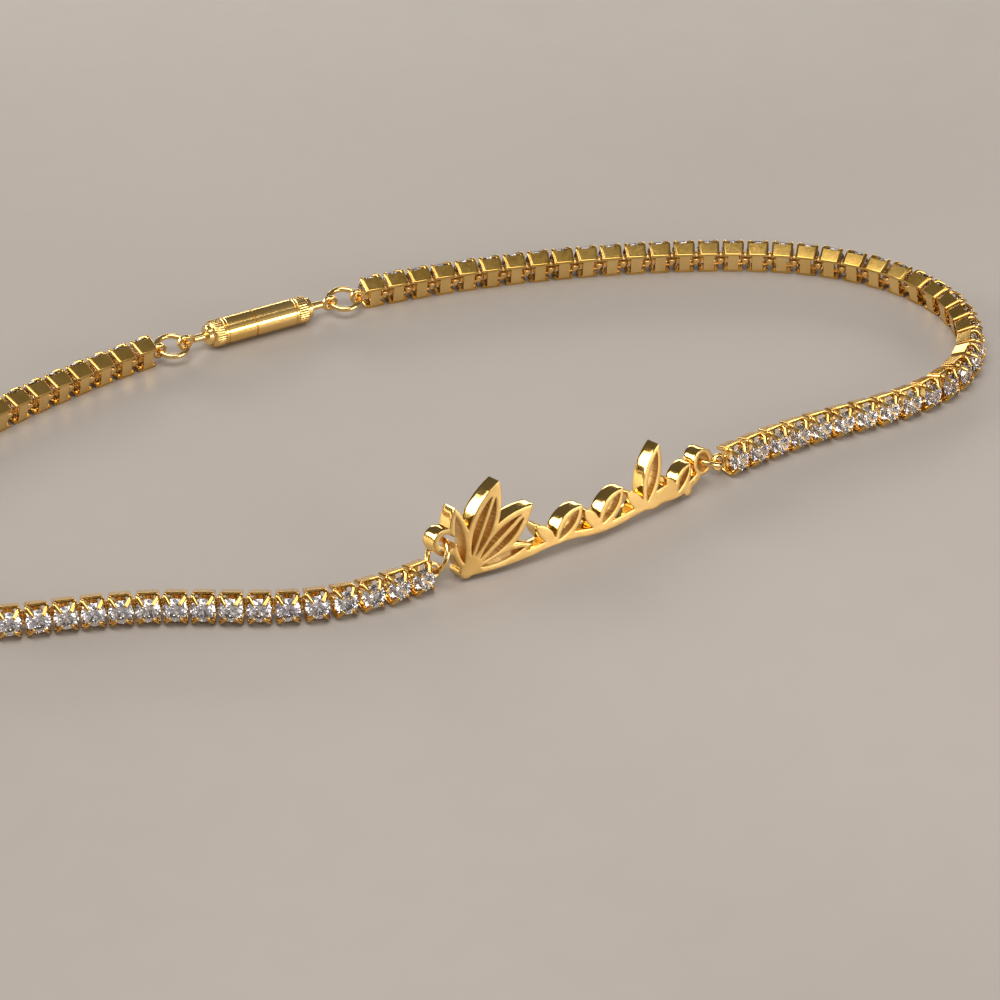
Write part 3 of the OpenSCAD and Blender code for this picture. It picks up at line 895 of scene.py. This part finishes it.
def gold(name, light, deep, rough, spread, marks, cast=0.0):
    """Plated metal: tone drifts between two colours, with polishing marks and, if asked, casting lines."""
    material, n, shader, place = start_material(name)
    tone = n.add("Group", {"Place": place, "Scale": DRIFT_SCALE}, node_tree=DRIFT).outputs["Tone"]
    height = n.add("Group", {"Place": place, "Scale": MARK_SCALE}, node_tree=MARKS).outputs["Height"]
    colour = n.ramp(tone, [(0.0, deep), (1.0, light)])
    normal = n.bump(height, marks, MARK_DEPTH)
    if cast:
        run = n.add("UVMap", uv_map="run").outputs["UV"]
        walls = n.add("Group", {"Run": run}, node_tree=CAST)
        normal = n.bump(walls.outputs["Height"], cast, CAST_DEPTH, normal)
        # Inputs 6 and 7 are the two colours of a Mix node
        darker = n.add("Mix", {"Factor": walls.outputs["Mask"], 6: (*deep, 1), 7: colour}, data_type="RGBA")
        colour = darker.outputs[2]
    n.feed(shader, {"Base Color": colour, "Metallic": 1.0, "Normal": normal,
                    "Roughness": n.ranged(height, 0.5, 1.0, rough, rough + spread)})
    return material


def clear_stone():
    """Clear cut stone: facets in tints from darker lilac through white to warm, painted sparkle and shade,
    and very fine wear that blurs its sparkle a little.
    """
    material, n, shader, place = start_material("clear_stone")
    # Painted sparkle and shade: each facet's value picks its tint, from darker lilac through white to warm
    painted_facet_sparkle = n.add("Attribute", attribute_name="painted_facet_sparkle").outputs["Fac"]
    colour = n.ramp(painted_facet_sparkle, [(0.0, (0.74, 0.66, 0.8)), (0.45, (0.88, 0.85, 0.9)), (0.8, (0.93, 0.9, 0.9)),
                            (1.0, (0.93, 0.8, 0.72))])
    wear = n.noise(place, 2500.0, 3.0)
    n.feed(shader, {"Base Color": colour, "Roughness": n.ranged(wear, 0.4, 0.8, 0.0, 0.05),
                    "Transmission Weight": 1.0, "IOR": 2.2})
    return material


def pale_floor():
    """Smooth warm grey surface with faint cloudy patches."""
    material, n, shader, place = start_material("pale_floor")
    cloud = n.noise(place, 9.0, 2.0, 0.45)
    grain = n.noise(place, 260.0, 2.0)
    colour = n.ramp(cloud, [(0.3, (0.325, 0.29, 0.262)), (0.7, (0.385, 0.348, 0.318))])
    n.feed(shader, {"Base Color": colour, "Roughness": n.ranged(grain, 0.3, 0.7, 0.4, 0.48),
                    "Normal": n.bump(grain, 0.004, 0.0001)})
    return material


# Pieces

def keep(obj, slot, *replaced):
    """Hands a finished piece to the frame: what it rides on and what it stands for, which it hides; slot is
    not used.
    """
    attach(obj, "root")
    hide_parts(*replaced)
    return obj


# The face's gold is darker than the walls': painted shade that tones down the light the face reflects
plate_face_painted_shade = gold("plate_gold_face_painted_shade", (0.79, 0.53, 0.2), (0.68, 0.42, 0.13), 0.28, 0.12, 0.4)
plate_wall = gold("plate_gold_wall", (0.93, 0.62, 0.2), (0.84, 0.51, 0.11), 0.06, 0.08, 0.15)
plate_inner = gold("plate_gold_inner", (1.0, 0.75, 0.32), (0.66, 0.39, 0.1), 0.3, 0.16, 0.3, cast=1.0)
link_gold = gold("link_gold", (0.92, 0.65, 0.27), (0.8, 0.53, 0.18), 0.12, 0.1, 0.25)
# Darker copy of the link gold for the walls: painted shade
link_wall_painted_shade = gold("link_gold_wall_painted_shade", (0.78, 0.5, 0.14), (0.6, 0.36, 0.07), 0.14, 0.1, 0.25)
# Darker copy of the link gold for the claws: painted shade that tones down the overhead light on them
claw_gold_painted_shade = gold("link_gold_claw_painted_shade", (0.8, 0.52, 0.17), (0.6, 0.34, 0.07), 0.1, 0.08, 0.2)
ring_gold = gold("ring_gold", (0.94, 0.67, 0.28), (0.84, 0.54, 0.17), 0.1, 0.08, 0.2)
clasp_gold = gold("clasp_gold", (0.92, 0.64, 0.25), (0.82, 0.53, 0.16), 0.12, 0.08, 0.25)
stone_clear = clear_stone()

# Faces that meet at a sharper angle than this, in degrees, keep their edge
PLATE_SHARP, METAL_SHARP = 50, 40

plate = soften(make_plate([plate_face_painted_shade, plate_wall, plate_inner]), PLATE_SHARP)
keep(plate, "plate_gold", "nameplate")

for side in ("left", "right"):
    row = ordered(stone_places(side + "_stones"), middle_of(side + "_ring"))
    last = len(row) - 1
    # x runs the same way round the loop on both sides, so the plate is next to the left strand's last link
    if side == "right":
        row.reverse()
    parts = [make_link(True, False)] + [make_link(False, False)] * (last - 1) + [make_link(False, True)]
    strand = copies(side + "_strand_links", parts, row, [link_gold, link_wall_painted_shade, claw_gold_painted_shade])
    soften(strand, METAL_SHARP)
    keep(strand, "link_gold", side + "_links")
    stones = make_stones(side + "_strand_stones", row, stone_clear)
    keep(stones, "stone", side + "_stones")

# Where the seam of each ring lies, in radians
SEAMS = [("left_ring", 2.4), ("right_ring", 0.9), ("clasp_ring_left", 1.2), ("clasp_ring_right", 4.0)]
for name, seam in SEAMS:
    keep(make_ring(name + "_wire", name, ring_gold, seam), "ring_gold", name)

keep(soften(make_clasp(clasp_gold), METAL_SHARP), "clasp_gold", "clasp")


# Floor, camera and light, set out as the photograph sees them: x right, y away, z up from the floor

# Side of the photograph in pixels. Camera: angle above the floor, focal length in pixels, pixels per
# millimetre at the middle of its view, and turn from the front of the row
PHOTO = 1000
VIEW_RISE, VIEW_LENGTH, VIEW_SCALE, VIEW_TURN = radians(33), 4200.0, 14.0, radians(32.5)
VIEW_FAR = VIEW_LENGTH / VIEW_SCALE
SENSOR = 36
# Shift from the plate to the middle of the solids' frame, and the pixel of the floor under the plate
ROW_MIDDLE = (-1.945, 19.055)
PLATE_PIXEL = (575, 541)
FLOOR_HALF = 1500
COS, SIN = cos(VIEW_RISE), sin(VIEW_RISE)


def floor_spot(px, py):
    """Point of the floor under a pixel of the photograph, in its own view directions."""
    right, down = (px - PHOTO / 2) / VIEW_LENGTH, (py - PHOTO / 2) / VIEW_LENGTH
    t = VIEW_FAR * SIN / (SIN + down * COS)
    return t * right, -VIEW_FAR * COS + t * (COS - down * SIN)


PLATE_SPOT = floor_spot(*PLATE_PIXEL)


def to_row(v):
    """Point given in the photograph's view directions, in the frame of the solids, in millimetres."""
    x, y = v[0] - PLATE_SPOT[0], v[1] - PLATE_SPOT[1]
    c, s = cos(VIEW_TURN), sin(VIEW_TURN)
    return Vector((x * c + y * s - ROW_MIDDLE[0], -x * s + y * c - ROW_MIDDLE[1], v[2]))


def make_camera():
    """Camera that looks at the floor in the middle of the photograph."""
    eye = (0, -VIEW_FAR * COS, VIEW_FAR * SIN)
    place = to_row(eye)
    right = to_row((1, eye[1], eye[2])) - place
    ahead = to_row((0, eye[1] + COS, eye[2] - SIN)) - place
    up = right.cross(ahead)
    data = bpy.data.cameras.new("camera")
    data.sensor_width = SENSOR
    data.lens = SENSOR * VIEW_LENGTH / PHOTO
    data.clip_start, data.clip_end = 0.01, 20
    camera = bpy.data.objects.new("camera", data)
    bpy.context.scene.collection.objects.link(camera)
    turn = Matrix((right, up, -ahead)).transposed().to_4x4()
    camera.matrix_world = Matrix.Translation(place * MM) @ turn
    bpy.context.scene.camera = camera


def softbox(name, place, aim, wide, high, power, colour=(1, 1, 1)):
    """Rectangular soft light at a place, turned to a point; both in view directions."""
    data = bpy.data.lights.new(name, "AREA")
    data.shape = "RECTANGLE"
    data.size, data.size_y = wide * MM, high * MM
    data.energy = power
    data.color = colour
    light = bpy.data.objects.new(name, data)
    bpy.context.scene.collection.objects.link(light)
    a, b = to_row(place), to_row(aim)
    light.location = a * MM
    light.rotation_euler = (b - a).to_track_quat("-Z", "Y").to_euler()


def make_floor():
    h = FLOOR_HALF
    corners = [(-h, -h, 0), (h, -h, 0), (h, h, 0), (-h, h, 0)]
    floor = mesh_piece("floor", corners, [(0, 1, 2, 3)], [pale_floor()], smooth=False)


def make_world():
    """Studio around the object: dim behind it and near the floor, brighter above and in front."""
    world = bpy.data.worlds.new("studio")
    bpy.context.scene.world = world
    world.use_nodes = True
    n = Nodes(world.node_tree)
    way = n.add("TexCoord").outputs["Generated"]
    height = n.add("SeparateXYZ", {"Vector": way}).outputs["Z"]
    ahead = (to_row((0, -1, 0)) - to_row((0, 0, 0))).normalized()
    front = n.add("VectorMath", {0: way, 1: ahead}, operation="DOT_PRODUCT").outputs["Value"]
    patches = n.noise(way, 3.2, 1.0, 0.4)
    lit = n.ranged(front, -0.1, 0.7, 0.06, n.ranged(patches, 0.42, 0.6, 0.02, 0.62))
    both = n.maths("ADD", lit, n.ranged(height, 0.0, 0.9, 0.0, 0.12))
    shade = n.ramp(both, [(0.0, (0.0, 0.0, 0.0)), (1.0, (1.0, 0.95, 0.9))])
    back = n.add("Background", {"Color": shade, "Strength": 1.0})
    n.add("OutputWorld", {"Surface": back.outputs[0]})


make_floor()
make_camera()
make_world()
softbox("overhead", (-40, -60, 420), (0, 0, 0), 420, 320, 1.75, (1, 0.98, 0.96))
softbox("left_side", (-380, 110, 130), (0, 0, 0), 220, 170, 1.0, (1, 0.97, 0.93))
softbox("low_behind", (60, 420, 95), (0, 0, 0), 520, 60, 0.5, (1, 0.95, 0.86))
softbox("right_low", (330, -150, 90), (0, 0, 0), 260, 120, 0.8, (1, 0.95, 0.88))
bpy.context.scene.view_settings.view_transform = "Standard"
